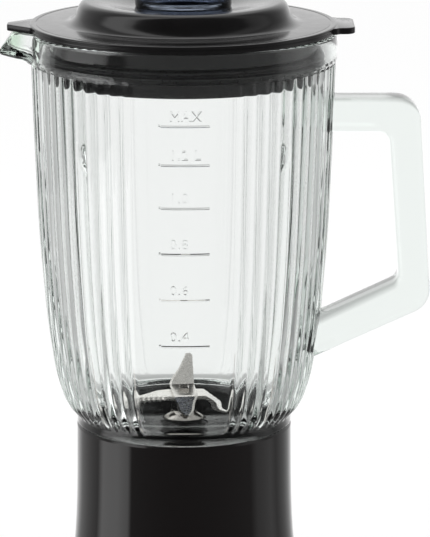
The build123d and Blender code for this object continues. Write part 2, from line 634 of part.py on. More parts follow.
def bearing(z0, z1):
    ring = tube(8.0, z0, z1, MOTOR_SHAFT_R + 0.03)
    outer = ring.edges().filter_by(GeomType.CIRCLE).sort_by(lambda e: e.radius)[-2:]
    return chamfer(outer, 0.8)


def upper_bracket():
    """Four-legged bridge over the stator that holds the top bearing."""
    plate = tube(CORE_R, 107.4, 110.0, 8.02) & block(-50, 50, -50, 50, 107.4, 110)
    cup = tube(10.5, 105.5, 114.5, 8.02) - tube(9, 100, 107.6)
    cup += tube(9.0, 113.0, 114.5, MOTOR_SHAFT_R + 1)
    legs = [at(BOLT_R, a) * tube(LEG_R, CORE_Z[1], 107.6) for a in BOLT_ANGLES]
    body = joined([plate, cup, *legs])
    for angle in BOLT_ANGLES:
        body -= at(BOLT_R, angle) * tube(1.75, 90, 120)
    for angle in MOUNT_ANGLES:
        body -= at(MOUNT_R, angle) * tube(1.9, 100, 120)
    for angle in (0, 90, 180, 270):
        body -= Rot(0, 0, angle) * sector(13.5, 29.0, 14, 107, 111)
    return body


def lower_bracket():
    """Plate under the stator that holds the bottom bearing and the brush holders."""
    plate = tube(CORE_R, 40.0, 43.0, 8.02)
    cup = tube(10.0, 35.0, 43.0, 8.02) + tube(9.0, 35.0, 36.4, MOTOR_SHAFT_R + 1)
    legs = [at(BOLT_R, a) * tube(LEG_R, 42.8, CORE_Z[0]) for a in BOLT_ANGLES]
    body = joined([plate, cup, *legs])
    for angle in BOLT_ANGLES:
        body -= at(BOLT_R, angle) * tube(1.75, 30, 70)
    for angle in (90, 270):
        for spread in (-24, 24):
            body -= Rot(0, 0, angle + spread) * sector(13.5, 29.0, 18, 39, 44)
    return body


def brush_holder(side):
    """Guide box for one carbon brush."""
    box = block(13.2, 33.0, -5, 5, 43.0, 54.2) - block(12, 31.5, -3.6, 3.6, 45.6, 53.2)
    return Rot(0, 0, side) * box


def carbon_brush(side):
    brush = block(COMMUTATOR_R - 2, 24.0, -3.5, 3.5, 45.7, 53.1) - tube(COMMUTATOR_R + 0.06, 40, 60)
    return Rot(0, 0, side) * brush


def brush_spring(side):
    """Coil that pushes a brush on the commutator."""
    path = Helix(2.3, 7.0, 2.2)
    section = Plane(origin=path @ 0, z_dir=path % 0) * Circle(0.25)
    spring = sweep(section, path=path, is_frenet=True)
    return Rot(0, 0, side) * Pos(24.25, 0, 49.4) * Rot(0, 90, 0) * spring


def motor_mount():
    return tube(5.0, 110.0, WELL_Z - DECK_T, 1.9)


def gland_axis(shape):
    """Place a turned shape on the cord gland's axis, +Z becoming +Y."""
    return Pos(0, 0, GLAND_Z) * Rot(-90, 0, 0) * shape


def cord_gland():
    """Grommet that lines the cord's way in."""
    return gland_axis(tube(5.45, 62.0, 70.0, GLAND_BORE_R) + tube(8.2, 69.7, 72.0, GLAND_BORE_R))


def terminal_block():
    body = block(-10, 10, 42, 52, FOOT_H + 4.0, 20)
    for x in (-5, 5):
        body -= Pos(x, 47, 0) * tube(1.6, 12, 30)
        body -= Pos(x, 0, 13) * Rot(-90, 0, 0) * tube(1.4, 30, 60)
    return body


# ---- Write one file per node ----------------------------------------------------------------
NODES = {
    "glass_jug": glass_jug,
    "jug_seal": jug_seal,
    "blade_holder": blade_holder,
    "bearing_hub": bearing_hub,
    "upper_bush": lambda: bush(HUB_TOP - 9.0, HUB_TOP - 1.0),
    "lower_bush": lambda: bush(133.4, 139.4),
    "blade_shaft_seal": lambda: tube(4.98, 140.0, 143.0, SHAFT_R + 0.05),
    "blade_shaft": blade_shaft,
    "blade_spacer": lambda: tube(5.4, HUB_TOP + 0.15, HUB_TOP + 1.0, SHAFT_R),
    "lower_blade": lower_blade,
    "upper_blade": upper_blade,
    "thrust_washer": lambda: tube(6.0, 132.0, 133.0, SHAFT_R),
    "driven_coupling": driven_coupling,
    "lid": lid,
    "lid_seal": lid_seal,
    "measuring_cap": measuring_cap,
    "base_housing": base_housing,
    "bottom_cover": bottom_cover,
    "rubber_feet": lambda: separate([at(FOOT_R, a) * rubber_foot() for a in FOOT_ANGLES]),
    "cover_screws": lambda: separate(
        [at(POST_R, a) * screw(1.48, 3.2, FOOT_H + 0.6, 1.8, 18) for a in POST_ANGLES]),
    "knob_bezel": knob_bezel,
    "speed_knob": speed_knob,
    "knob_spindle": knob_spindle,
    "rotary_switch": rotary_switch,
    "interlock_pin": interlock_pin,
    "interlock_spring": interlock_spring,
    "microswitch": microswitch,
    "motor_stator": motor_stator,
    "field_coils": lambda: separate([Rot(0, 0, a) * field_coil() for a in (90, 270)]),
    "motor_shaft": motor_shaft,
    "armature_core": armature_core,
    "armature_windings": armature_windings,
    "commutator": commutator,
    "cooling_fan": cooling_fan,
    "drive_coupling": drive_coupling,
    "upper_bearing": lambda: bearing(107.5, 113.0),
    "lower_bearing": lambda: bearing(36.5, 42.5),
    "upper_bracket": upper_bracket,
    "lower_bracket": lower_bracket,
    "brush_holders": lambda: separate([brush_holder(0), brush_holder(180)]),
    "carbon_brushes": lambda: separate([carbon_brush(0), carbon_brush(180)]),
    "brush_springs": lambda: separate([brush_spring(0), brush_spring(180)]),
    "motor_bolts": lambda: separate(
        [at(BOLT_R, a) * screw(1.7, 3.0, 38.0, 2.0, 112) for a in BOLT_ANGLES]),
    "motor_mounts": lambda: separate([at(MOUNT_R, a) * motor_mount() for a in MOUNT_ANGLES]),
    "mount_screws": lambda: separate(
        [at(MOUNT_R, a) * screw(1.52, 3.2, 105.4, 2.0, 121) for a in MOUNT_ANGLES]),
    "motor_shaft_seal": lambda: tube(9.5, WELL_Z - 1.9, WELL_Z - 0.2, MOTOR_SHAFT_R + 0.06),
    "cord_gland": cord_gland,
    "terminal_block": terminal_block,
}

for name, make in NODES.items():
    save(name, make())
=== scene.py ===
import bpy
import bmesh
import math
import numpy as np
from mathutils import Matrix, Vector

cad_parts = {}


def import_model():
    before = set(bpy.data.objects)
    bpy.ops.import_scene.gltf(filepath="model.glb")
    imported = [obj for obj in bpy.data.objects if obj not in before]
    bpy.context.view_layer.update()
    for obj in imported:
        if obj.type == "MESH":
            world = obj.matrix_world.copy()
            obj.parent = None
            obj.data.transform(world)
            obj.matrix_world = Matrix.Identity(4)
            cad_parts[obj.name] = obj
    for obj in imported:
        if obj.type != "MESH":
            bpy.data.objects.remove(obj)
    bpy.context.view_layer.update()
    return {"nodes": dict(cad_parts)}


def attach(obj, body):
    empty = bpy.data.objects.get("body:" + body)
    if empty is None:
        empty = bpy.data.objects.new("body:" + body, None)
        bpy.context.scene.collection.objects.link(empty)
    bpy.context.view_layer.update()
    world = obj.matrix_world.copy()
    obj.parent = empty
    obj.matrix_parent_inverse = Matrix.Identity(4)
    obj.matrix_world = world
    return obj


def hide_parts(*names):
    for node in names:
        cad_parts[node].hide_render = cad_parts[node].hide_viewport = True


# Countertop blender: glass jug, lid, measuring cap, blades, motor base and speed knob,
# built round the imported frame. Sizes below are millimetres in that frame, and heights
# in the jug's outlines count from the underside of its glass.

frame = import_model()
MM = 0.001

# ---- Sizes -------------------------------------------------------------------------
SEAT_Z = 150.0
JUG_H = 175.0
JUG_FOOT_R = 47.5
RIM_R, RIM_LOW = 67.8, 162.5
RIM_LEAN, RIM_LEAN_FROM = 0.06, 169.5      # the upper part of the rim band leans in
MOUTH_R = 61.8
NECK_R, NECK_H, NECK_BORE_R = 42.2, 12.0, 36.0
GLASS_OUT = [(47.5, 3.5), (51.6, 9.0), (55.2, 18.0), (59.0, 38.0), (62.3, 70.0),
             (65.0, 121.0), (66.4, 161.0)]
GLASS_IN = [(36.0, -5.0), (36.0, 0.0), (37.2, 2.5), (39.7, 5.0), (43.1, 8.7), (45.5, 12.0),
            (49.2, 21.0), (52.4, 33.0), (55.0, 48.0), (57.4, 70.0), (60.4, 121.0), (61.8, 158.0)]
RIBS, RIB_SAMPLES, RIB_DEPTH = 64, 14, 0.75
RIB_LOW, RIB_TOP, RIB_END = 4.2, 163.0, 3.4
VALLEY_SOFT = 0.22
PANEL_HALF = 22.5                    # degrees each side of the front and of the back
RIDGE_ANGLES = (45, 135, 225, 315)
RIDGE_PROUD, RIDGE_HALF, RIDGE_TOP = 3.2, 2.5, 133.0
SPOUT_TIP, SPOUT_HALF_W = 80.6, 19.0
SPOUT_LOW, SPOUT_FULL = 160.8, 164.7       # heights where the beak starts and is full grown
SPOUT_REACH, SPOUT_SOFT = 1.2, 0.045       # how its tip is rounded in plan
SPOUT_SPAN = 0.6                           # radians each side of the beak that it may fill
CHANNEL_SHORTER, CHANNEL_NARROWER = 6.5, 7.0
CHANNEL_LOW, CHANNEL_FULL = 163.0, 169.0
LIP_BASE = 165.0                           # height from which the rows bend to the lip
LIP_START, LIP_SLOPE = 73.7, 1.27    # where the beak's top edge starts to fall, and how fast
SCALE = [(47.7, "0.4"), (68.4, "0.6"), (88.8, "0.8"), (108.9, "1.0"), (127.6, "1.2 L"),
         (144.4, "MAX")]
MARK_PROUD, MARK_SLOPE, MARK_ROOT = 0.42, 0.28, 0.5
LABEL_X, LABEL_RISE, LABEL_SIZE, LABEL_THINNER, LABEL_SPACING = -6.0, 2.4, 6.0, -0.16, 1.12
LINE_X, TICK_X = (-9.6, 11.0), (-10.6, -9.9)
HANDLE_W, HANDLE_EDGE_R = 20.0, 5.0
HANDLE_OUTER = [(62.5, 146.2), (103.0, 146.2), (108.75, 53.2), (54.6, 28.6)]
HANDLE_INNER = [(62.5, 130.7), (89.6, 130.7), (94.4, 64.8), (57.0, 47.4)]
HANDLE_OUTER_R, HANDLE_INNER_R = 11.0, 5.0


# ---- Curves and outlines -------------------------------------------------------------
def smooth_line(points, step=0.8):
    """Catmull-Rom curve through (x, y) points, sampled about step apart."""
    p = np.array(points, float)
    p = np.vstack([2 * p[0] - p[1], p, 2 * p[-1] - p[-2]])
    out = []
    for k in range(1, len(p) - 2):
        count = max(2, int(np.ceil(np.linalg.norm(p[k + 1] - p[k]) / step)))
        t = np.arange(count)[:, None] / count
        a, b, c, d = p[k - 1], p[k], p[k + 1], p[k + 2]
        out.append(0.5 * (2 * b + (c - a) * t + (2 * a - 5 * b + 4 * c - d) * t ** 2
                          + (3 * b - a - 3 * c + d) * t ** 3))
    return np.vstack(out + [p[-2][None]])


def rounded(points, radius, step=0.35):
    """Open polyline with each inner corner rounded by an arc of the given radius."""
    p = [np.array(q, float) for q in points]
    radii = radius if isinstance(radius, (list, tuple)) else [radius] * (len(p) - 2)
    out = [p[0]]
    for k in range(1, len(p) - 1):
        a, b, c = p[k - 1], p[k], p[k + 1]
        u, v = (a - b) / np.linalg.norm(a - b), (c - b) / np.linalg.norm(c - b)
        half = math.acos(max(-1.0, min(1.0, float(u @ v)))) / 2
        reach = radii[k - 1] / math.tan(half)
        centre = b + (u + v) / np.linalg.norm(u + v) * radii[k - 1] / math.sin(half)
        start, end = b + u * reach - centre, b + v * reach - centre
        turn = math.pi - 2 * half
        sign = 1 if start[0] * end[1] - start[1] * end[0] > 0 else -1
        count = max(3, int(radii[k - 1] * turn / step))
        for i in range(count + 1):
            w = sign * turn * i / count
            out.append(centre + np.array([start[0] * math.cos(w) - start[1] * math.sin(w),
                                          start[0] * math.sin(w) + start[1] * math.cos(w)]))
    out.append(p[-1])
    return np.array(out)


def height_curve(points):
    """Smooth radius as a function of height, through (radius, height) points."""
    z = np.array([q[1] for q in points], float)
    r = np.array([q[0] for q in points], float)
    slope = np.gradient(r, z)

    def radius(h):
        h = np.clip(np.asarray(h, float), z[0], z[-1])
        k = np.clip(np.searchsorted(z, h) - 1, 0, len(z) - 2)
        span = z[k + 1] - z[k]
        t = (h - z[k]) / span
        return ((2 * t ** 3 - 3 * t ** 2 + 1) * r[k] + (t ** 3 - 2 * t ** 2 + t) * span * slope[k]
                + (3 * t ** 2 - 2 * t ** 3) * r[k + 1] + (t ** 3 - t ** 2) * span * slope[k + 1])
    return radius


def smoothstep(low, high, x):
    t = np.clip((x - low) / (high - low), 0, 1)
    return t * t * (3 - 2 * t)


# ---- Meshes ----------------------------------------------------------------------------
def new_piece(name, verts, faces, material, smooth_angle=35.0):
    """Object from vertices in millimetres, shaded smooth except at sharp edges."""
    mesh = bpy.data.meshes.new(name)
    mesh.from_pydata([tuple(v) for v in np.asarray(verts, float) * MM], [],
                     [tuple(int(i) for i in f) for f in faces])
    mesh.validate()
    obj = bpy.data.objects.new(name, mesh)
    bpy.context.scene.collection.objects.link(obj)
    if material:
        mesh.materials.append(material)
    shade(obj, smooth_angle)
    return obj


def shade(obj, angle):
    mesh = obj.data
    mesh.polygons.foreach_set("use_smooth", [True] * len(mesh.polygons))
    mesh.set_sharp_from_angle(angle=math.radians(angle))
    mesh.update()


def grid_faces(rows, columns, close_rows):
    """Quads of a grid that closes round its columns, and round its rows if asked."""
    i = np.arange(rows if close_rows else rows - 1)[:, None]
    j = np.arange(columns)[None, :]
    i2, j2 = (i + 1) % rows, (j + 1) % columns
    quads = np.stack([i * columns + j, i * columns + j2, i2 * columns + j2, i2 * columns + j], -1)
    return quads.reshape(-1, 4)


def turned(name, outline, material, columns=160, shape=None, smooth_angle=35.0):
    """Ring turned from an outline of (radius, height), closed into a solid. shape may
    change radius and height round the axis. An outline that starts and ends on the axis
    gets a pole at each end instead."""
    outline = np.array(outline, float)
    theta = np.arange(columns) * 2 * math.pi / columns
    poles = outline[0][0] < 1e-6 and outline[-1][0] < 1e-6
    body = outline[1:-1] if poles else outline
    r = np.repeat(body[:, 0][:, None], columns, 1)
    z = np.repeat(body[:, 1][:, None], columns, 1)
    if shape:
        r, z = shape(r, z, theta[None, :])
    verts = np.stack([r * np.cos(theta), r * np.sin(theta), z], -1).reshape(-1, 3)
    faces = [tuple(q) for q in grid_faces(len(body), columns, not poles)]
    if poles:
        first, last = len(verts), len(verts) + 1
        verts = np.vstack([verts, [0, 0, outline[0][1]], [0, 0, outline[-1][1]]])
        base = (len(body) - 1) * columns
        for j in range(columns):
            k = (j + 1) % columns
            faces.append((first, k, j))
            faces.append((last, base + j, base + k))
    return tidy_normals(new_piece(name, verts, faces, material, smooth_angle))


def tidy_normals(obj):
    """Merges doubled points and turns all faces outwards."""
    bm = bmesh.new()
    bm.from_mesh(obj.data)
    bmesh.ops.remove_doubles(bm, verts=bm.verts, dist=2e-6)
    bmesh.ops.recalc_face_normals(bm, faces=bm.faces)
    bm.to_mesh(obj.data)
    bm.free()
    return obj


def plate(name, outline, z0, z1, edge, material, smooth_angle=35.0):
    """Flat plate with rounded edges, from a closed outline that runs anticlockwise."""
    p = np.array(outline, float)
    ahead, behind = np.roll(p, -1, 0) - p, p - np.roll(p, 1, 0)
    ahead /= np.linalg.norm(ahead, axis=1)[:, None]
    behind /= np.linalg.norm(behind, axis=1)[:, None]
    along = ahead + behind
    along /= np.linalg.norm(along, axis=1)[:, None]
    inward = np.stack([-along[:, 1], along[:, 0]], -1)
    loops = []
    steps = 4
    for k in range(steps + 1):
        a = math.pi / 2 * k / steps
        loops.append((edge * (1 - math.sin(a)), z0 + edge * (1 - math.cos(a))))
    loops += [(inset, z1 + z0 - z) for inset, z in loops[::-1]]
    verts = [np.column_stack([p + inward * inset, np.full(len(p), z)]) for inset, z in loops]
    count = len(p)
    faces = [tuple(q) for q in grid_faces(len(loops), count, False)]
    faces.append(tuple(range(count))[::-1])
    faces.append(tuple((len(loops) - 1) * count + j for j in range(count)))
    return tidy_normals(new_piece(name, np.vstack(verts), faces, material, smooth_angle))


def unite(target, others):
    """Union of closed meshes, applied."""
    for other in others:
        join = target.modifiers.new("join", "BOOLEAN")
        join.operation = "UNION"
        join.object = other
        join.solver = "MANIFOLD"
    bpy.context.view_layer.update()
    depsgraph = bpy.context.evaluated_depsgraph_get()
    made = bpy.data.meshes.new_from_object(target.evaluated_get(depsgraph))
    target.modifiers.clear()
    target.data = made
    for other in others:
        bpy.data.objects.remove(other)
    return target


# ---- Materials ---------------------------------------------------------------------------
BEAK_TINT_FROM, BEAK_TINT_TO = -0.0720, -0.0675     # metres along X: full tint, and none


class Finish:
    """A Principled material and short calls that add procedural detail to it."""

    def __init__(self, name, colour, roughness, **sockets):
        self.material = bpy.data.materials.new(name)
        self.material.use_nodes = True
        self.tree = self.material.node_tree
        self.shader = self.tree.nodes["Principled BSDF"]
        self.out = self.tree.nodes["Material Output"]
        self.shader.inputs["Base Color"].default_value = (*colour, 1)
        self.shader.inputs["Roughness"].default_value = roughness
        for key, value in sockets.items():
            self.shader.inputs[key.replace("_", " ")].default_value = value
        self.place = self.tree.nodes.new("ShaderNodeTexCoord").outputs["Object"]
        self.normal = None

    def node(self, kind, links=(), **values):
        made = self.tree.nodes.new(kind)
        for key, value in values.items():
            setattr(made, key, value)
        for socket, value in links:
            if isinstance(value, bpy.types.NodeSocket):
                self.tree.links.new(value, made.inputs[socket])
            else:
                made.inputs[socket].default_value = value
        return made

    def noise(self, scale, detail=3.0, stretch=(1, 1, 1), rough=0.55):
        """Noise of about scale features per metre, stretched by factors of frequency."""
        place = self.node("ShaderNodeMapping", [("Vector", self.place),
                                                ("Scale", Vector(stretch))])
        return self.node("ShaderNodeTexNoise",
                         [("Vector", place.outputs[0]), ("Scale", scale),
                          ("Detail", detail), ("Roughness", rough)]).outputs[0]

    def around(self, scale):
        """Noise drawn out round the Z axis, as turning or brushing leaves it."""
        parts = self.node("ShaderNodeSeparateXYZ", [("Vector", self.place)])
        radius = self.node("ShaderNodeVectorMath", [(0, self.flat())], operation="LENGTH")
        place = self.node("ShaderNodeCombineXYZ",
                          [("X", radius.outputs["Value"]), ("Z", parts.outputs["Z"])])
        stretched = self.node("ShaderNodeMapping",
                              [("Vector", place.outputs[0]), ("Scale", Vector((1, 1, 1)))])
        return self.node("ShaderNodeTexNoise",
                         [("Vector", stretched.outputs[0]), ("Scale", scale),
                          ("Detail", 2.0)]).outputs[0]

    def flat(self):
        """Position with its height taken out."""
        return self.node("ShaderNodeVectorMath",
                         [(0, self.place), (1, Vector((1, 1, 0)))],
                         operation="MULTIPLY").outputs[0]

    def spread(self, value, low, high, start=0.3, end=0.7):
        """Maps a noise value to a range."""
        return self.node("ShaderNodeMapRange",
                         [("Value", value), ("From Min", start), ("From Max", end),
                          ("To Min", low), ("To Max", high)]).outputs[0]

    def blend(self, factor, first, second):
        mix = self.node("ShaderNodeMix", data_type="RGBA")
        self.tree.links.new(factor, mix.inputs["Factor"])
        mix.inputs[6].default_value = (*first, 1)
        mix.inputs[7].default_value = (*second, 1)
        return mix.outputs[2]

    def rough(self, value):
        self.tree.links.new(value, self.shader.inputs["Roughness"])
        return self

    def colour(self, value):
        self.tree.links.new(value, self.shader.inputs["Base Color"])
        return self

    def bump(self, height, distance_mm, strength=1.0):
        links = [("Height", height), ("Distance", distance_mm * MM), ("Strength", strength)]
        if self.normal:
            links.append(("Normal", self.normal))
        self.normal = self.node("ShaderNodeBump", links).outputs[0]
        self.tree.links.new(self.normal, self.shader.inputs["Normal"])
        return self


def clear_glass():
    """Pressed glass: slightly wavy, faintly green in its depth. The beak, past the rim
    on the left, is greener and more uneven."""
    made = Finish("clear_glass", (1, 1, 1), 0.0, Transmission_Weight=1.0, IOR=1.52)
    made.rough(made.spread(made.noise(45, 4), 0.0, 0.02, 0.45, 0.8))
    made.bump(made.noise(70, 2, (1, 1, 0.25)), 0.05, 0.35)
    made.bump(made.noise(900, 3), 0.004, 0.3)
    parts = made.node("ShaderNodeSeparateXYZ", [("Vector", made.place)])
    beak = made.spread(parts.outputs["X"], 1.0, 0.0, BEAK_TINT_FROM, BEAK_TINT_TO)
    made.bump(made.noise(420, 3, (1, 1, 0.3)), 0.16, beak)
    made.colour(made.blend(beak, (1, 1, 1), (0.80, 0.89, 0.81)))
    depth = made.node("ShaderNodeVolumeAbsorption",
                      [("Color", (0.80, 0.93, 0.86, 1)), ("Density", 17.0)])
    made.tree.links.new(depth.outputs[0], made.out.inputs["Volume"])
    return made.material


def smoky_plastic():
    """Clear smoke-grey styrene with a blue cast and fine handling scratches."""
    made = Finish("smoky_plastic", (0.30, 0.34, 0.42), 0.05, Transmission_Weight=1.0, IOR=1.55)
    made.rough(made.spread(made.noise(120, 4), 0.03, 0.09))
    made.bump(made.noise(2600, 2, (1, 1, 6)), 0.003, 0.4)
    made.bump(made.noise(60, 2), 0.05, 0.25)
    return made.material


def moulded(name, colour, roughness, grain=5200, grain_mm=0.012, marks=0.06):
    """Moulded plastic with a spark-eroded grain and small roughness changes."""
    made = Finish(name, colour, roughness, IOR=1.5)
    lighter = tuple(min(1.0, c * 1.5 + 0.001) for c in colour)
    made.colour(made.blend(made.spread(made.noise(85, 5), 0, 1), colour, lighter))
    made.rough(made.spread(made.noise(140, 5), roughness - marks, roughness + marks))
    made.bump(made.noise(grain, 2), grain_mm, 0.5)
    made.bump(made.noise(55, 2), 0.06, 0.2)
    return made.material


def gloss_black():
    """Polished black housing: deep gloss, a faint orange peel, dust and wiping marks."""
    made = Finish("gloss_black", (0.006, 0.005, 0.005), 0.06, IOR=1.52)
    dust = made.spread(made.noise(2400, 2), 0, 1, 0.70, 0.78)
    made.colour(made.blend(dust, (0.006, 0.005, 0.005), (0.03, 0.028, 0.027)))
    wipes = made.noise(160, 4, (1, 1, 0.12))
    made.rough(made.spread(wipes, 0.045, 0.10, 0.4, 0.8))
    made.bump(made.noise(260, 2), 0.004, 0.35)
    return made.material


def steel(name, colour, low, high, along=(1, 1, 1), scale=2600, turned_marks=False):
    """Steel with drawn or turned grinding marks."""
    made = Finish(name, colour, (low + high) / 2, Metallic=1.0)
    marks = made.around(scale) if turned_marks else made.noise(scale, 3, along)
    made.rough(made.spread(marks, low, high))
    darker = tuple(c * 0.86 for c in colour)
    made.colour(made.blend(made.spread(made.noise(150, 5), 0, 1), darker, colour))
    made.bump(marks, 0.003, 0.4)
    return made.material


def laminated_iron():
    """Stack of thin sheets: fine level lines and a blued, oily tint."""
    made = Finish("laminated_iron", (0.24, 0.24, 0.26), 0.4, Metallic=1.0)
    sheets = made.node("ShaderNodeTexWave", [("Vector", made.place), ("Scale", 320.0),
                                             ("Distortion", 0.2)],
                       bands_direction="Z").outputs[1]
    made.colour(made.blend(sheets, (0.10, 0.10, 0.12), (0.32, 0.32, 0.34)))
    made.rough(made.spread(made.noise(200, 4), 0.3, 0.55))
    made.bump(sheets, 0.05, 0.6)
    return made.material


def copper_wire():
    """Wound enamelled wire."""
    made = Finish("copper", (0.62, 0.22, 0.08), 0.3, Metallic=1.0, Coat_Weight=0.5)
    turns = made.node("ShaderNodeTexWave", [("Vector", made.place), ("Scale", 380.0),
                                            ("Distortion", 1.5)],
                      bands_direction="Z").outputs[1]
    made.colour(made.blend(turns, (0.30, 0.09, 0.03), (0.72, 0.30, 0.12)))
    made.rough(made.spread(made.noise(300, 3), 0.22, 0.42))
    made.bump(turns, 0.12, 0.8)
    return made.material


def cast(name, colour, low, high, metallic=1.0):
    """Cast or pressed surface with a coarse grain."""
    made = Finish(name, colour, (low + high) / 2, Metallic=metallic)
    pits = made.noise(1500, 5)
    made.rough(made.spread(pits, low, high))
    darker = tuple(c * 0.7 for c in colour)
    made.colour(made.blend(made.spread(made.noise(220, 4), 0, 1), darker, colour))
    made.bump(pits, 0.03, 0.6)
    return made.material


def soft(name, colour, roughness):
    """Silicone or rubber with a dull, dusty skin."""
    made = Finish(name, colour, roughness, IOR=1.43)
    paler = tuple(min(1.0, c * 1.6 + 0.003) for c in colour)
    made.colour(made.blend(made.spread(made.noise(320, 5), 0, 1), colour, paler))
    made.rough(made.spread(made.noise(600, 4), roughness - 0.1, min(1.0, roughness + 0.1)))
    made.bump(made.noise(3600, 3), 0.02, 0.5)
    return made.material


MATERIALS = {
    "clear_glass": clear_glass(),
    "smoky_plastic": smoky_plastic(),
    "satin_black": moulded("satin_black", (0.0035, 0.0032, 0.0034), 0.17, 4200, 0.004, 0.03),
    "gloss_black": gloss_black(),
    "black_plastic": moulded("black_plastic", (0.006, 0.0055, 0.0055), 0.26),
    "red_plastic": moulded("red_plastic", (0.45, 0.03, 0.02), 0.4),
    "white_plastic": moulded("white_plastic", (0.72, 0.70, 0.65), 0.42),
    "stainless": steel("stainless", (0.60, 0.57, 0.54), 0.10, 0.24, turned_marks=True),
    "blade_steel": steel("blade_steel", (0.84, 0.815, 0.78), 0.20, 0.34, (0.12, 1, 1)),
    "plated_steel": steel("plated_steel", (0.62, 0.62, 0.60), 0.16, 0.34, turned_marks=True),
    "bezel_chrome": steel("bezel_chrome", (0.78, 0.78, 0.80), 0.06, 0.16, scale=1200),
    "spring_steel": steel("spring_steel", (0.45, 0.45, 0.44), 0.2, 0.4),
    "laminated_iron": laminated_iron(),
    "copper": copper_wire(),
    "bronze": cast("bronze", (0.50, 0.30, 0.13), 0.3, 0.5),
    "cast_aluminium": cast("cast_aluminium", (0.55, 0.56, 0.57), 0.35, 0.6),
    "carbon": cast("carbon", (0.03, 0.03, 0.03), 0.5, 0.75, metallic=0.0),
    "silicone": soft("silicone", (0.008, 0.008, 0.008), 0.34),
    "black_rubber": soft("black_rubber", (0.006, 0.006, 0.006), 0.55),
}
for node in frame["nodes"].values():
    for slot_index, old in enumerate(node.data.materials):
        node.data.materials[slot_index] = MATERIALS[old.name.split(".")[0]]


def finished(piece, body, slot, *nodes):
    """Rides on its body and stands for its CAD nodes; slot is not used."""
    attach(piece, body)
    if nodes:
        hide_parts(*nodes)
    return piece


# ---- Glass jug -----------------------------------------------------------------------------
wall_out, wall_in = height_curve(GLASS_OUT), height_curve(GLASS_IN)


def rib_bulge(v):
    """Height of a rib's section, 1 on its crest (v = 0) and 0 in the valley (v = 1)."""
    w = VALLEY_SOFT
    total = (1 - w) ** 2 + (1 - w) * w
    run = np.where(v < 1 - w, v ** 2, (1 - w) ** 2 + (1 - w) * (w ** 2 - (1 - v) ** 2) / w)
    return 1 - run / total


def fluting(z, degrees):
    """How far the outside lies under the crests, for a height and an azimuth."""
    pitch = 360 / RIBS
    u = (degrees / pitch) % 1.0
    v = np.abs(2 * u - 1)
    off_front = np.abs((degrees + 90 + 180) % 360 - 180)
    off_side = np.minimum(off_front, 180 - off_front)
    inside_panel = (PANEL_HALF - off_side) / (pitch / 2)
    v = np.where(inside_panel > 0, 1 - np.clip(inside_panel, 0, 1), v)
    end = np.clip(np.maximum((RIB_LOW + RIB_END - z), (z - RIB_TOP + RIB_END)) / RIB_END, 0, 1)
    rise = np.clip(rib_bulge(v) - end ** 2, 0, 1)
    fade = smoothstep(RIB_LOW - 0.7, RIB_LOW + 1.5, z)
    return RIB_DEPTH * fade * (1 - rise)


def beak_radius(theta, tip, half_width):
    """Outline of the pouring beak seen from above, as a radius for each azimuth."""
    side = np.abs((theta - math.pi + math.pi) % (2 * math.pi) - math.pi)
    k = (tip + SPOUT_REACH - 60) / half_width
    base = np.cos(side) + k * np.sqrt(np.sin(side) ** 2 + SPOUT_SOFT ** 2)
    radius = tip * (1 + k * SPOUT_SOFT) / base
    return np.where(side < SPOUT_SPAN, radius, 0)


def jug_outside(r, z, theta):
    """Adds flutes and beak to the outside rows."""
    degrees = np.degrees(theta)
    r = r - fluting(z, degrees)
    grown = np.clip((z - SPOUT_LOW) / (SPOUT_FULL - SPOUT_LOW), 0, 1)
    beak = beak_radius(theta, SPOUT_TIP, SPOUT_HALF_W)
    body_r = RIM_R - 1.5
    lifted = np.where(beak > body_r, body_r + (beak - body_r) * grown, 0)
    return np.maximum(r, np.where(z > SPOUT_LOW, lifted, 0))


def jug_inside(r, z, theta):
    """Adds the mixing ridges and the beak's channel to the inside rows."""
    degrees = np.degrees(theta)
    for angle in RIDGE_ANGLES:
        off = np.abs((degrees - angle + 180) % 360 - 180) * math.pi / 180 * r
        section = 1 - smoothstep(RIDGE_HALF * 0.35, RIDGE_HALF * 1.25, off)
        height = smoothstep(4.0, 14.0, z) * np.clip((RIDGE_TOP - z) / 12.0, 0, 1)
        r = r - RIDGE_PROUD * section * height
    channel = beak_radius(theta, SPOUT_TIP - CHANNEL_SHORTER, SPOUT_HALF_W - CHANNEL_NARROWER)
    grown = smoothstep(CHANNEL_LOW, CHANNEL_FULL, z)
    lifted = np.where((channel > MOUTH_R) & (z > RIM_LOW),
                      MOUTH_R + (channel - MOUTH_R) * grown, 0)
    return np.maximum(r, lifted)


